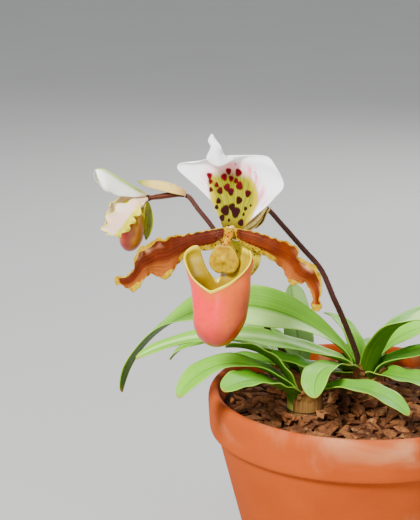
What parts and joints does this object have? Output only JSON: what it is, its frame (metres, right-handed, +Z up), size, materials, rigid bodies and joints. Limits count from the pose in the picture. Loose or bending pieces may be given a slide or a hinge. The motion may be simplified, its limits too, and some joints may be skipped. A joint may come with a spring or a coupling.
{
  "type": "potted slipper orchid (paphiopedilum type)",
  "caption": "Slipper orchid in a terracotta pot: fans of strap leaves, arching stalks, a spotted open flower with a pouch and a half-open one behind it.",
  "frame": {"origin": "middle of the pot's flat bottom", "axes": "+Z up; -Y is the front, where the open flower faces; +X to the right seen from the front"},
  "size_m": [0.2293, 0.15, 0.2462],
  "materials": {
    "terracotta": "matte",
    "bark": "matte",
    "root": "matte",
    "leaf": "satin",
    "scape": "satin",
    "ovary": "matte",
    "dorsal_sepal": "satin",
    "petal": "satin",
    "pouch": "satin",
    "shield": "satin",
    "synsepal": "satin"
  },
  "bodies": {
    "root": {"pot": "terracotta", "potting_mix": "bark", "rootstock": "root", "leaf_a1": "leaf", "leaf_a2": "leaf", "leaf_a3": "leaf", "leaf_a4": "leaf", "leaf_a5": "leaf", "leaf_a6": "leaf", "leaf_a7": "leaf", "leaf_a8": "leaf", "leaf_a9": "leaf", "leaf_a10": "leaf", "leaf_a11": "leaf", "leaf_b1": "leaf", "leaf_b2": "leaf", "leaf_b3": "leaf", "leaf_b4": "leaf", "leaf_c1": "leaf", "leaf_c2": "leaf", "leaf_c3": "leaf", "leaf_c4": "leaf", "scape_1": "scape", "scape_2": "scape", "ovary_1": "ovary", "bract_1": "ovary", "dorsal_sepal_1": "dorsal_sepal", "petal_1_left": "petal", "petal_1_right": "petal", "synsepal_1": "synsepal", "pouch_1": "pouch", "column_1": "shield", "ovary_2": "ovary", "bract_2": "ovary", "dorsal_sepal_2": "dorsal_sepal", "petal_2_near": "petal", "petal_2_far": "petal", "synsepal_2": "synsepal", "pouch_2": "pouch", "column_2": "shield"}
  },
  "joints": []
}
